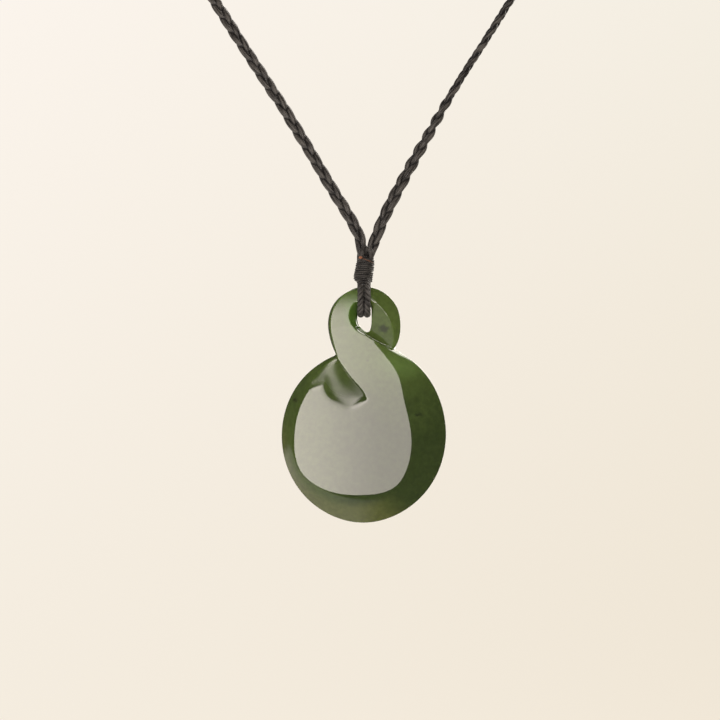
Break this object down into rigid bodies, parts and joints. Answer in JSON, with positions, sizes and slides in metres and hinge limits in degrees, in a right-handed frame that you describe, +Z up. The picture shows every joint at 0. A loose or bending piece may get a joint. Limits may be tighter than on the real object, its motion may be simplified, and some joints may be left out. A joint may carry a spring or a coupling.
{
  "type": "greenstone twist pendant on a plaited neck cord",
  "caption": "Polished green stone single twist pendant with a filled disc below an eye, hung on a plaited waxed neck cord that is whipped above the stone.",
  "frame": {"origin": "middle of the whipped join at the nape, where the cord rests on the back of the neck", "axes": "+Z up, -Y the side that the stone's face looks to, +X to the right as the face is seen"},
  "size_m": [0.1486, 0.1702, 0.2264],
  "materials": {
    "greenstone": "gloss",
    "waxed_cord": "satin",
    "waxed_thread": "satin"
  },
  "bodies": {
    "cord": {"eye_loop_left": "waxed_cord", "eye_loop_right": "waxed_cord", "cord_whipping": "waxed_thread", "neck_cord_left": "waxed_cord", "neck_cord_right": "waxed_cord", "nape_whipping": "waxed_thread"},
    "stone": {"greenstone_twist": "greenstone"}
  },
  "joints": [
    {"name": "pendant_swing", "type": "hinge", "parent": "cord", "child": "stone", "pos_m": [0, -0.163, -0.1742], "axis": [1, 0, 0], "range_deg": [-15, 15]}
  ]
}
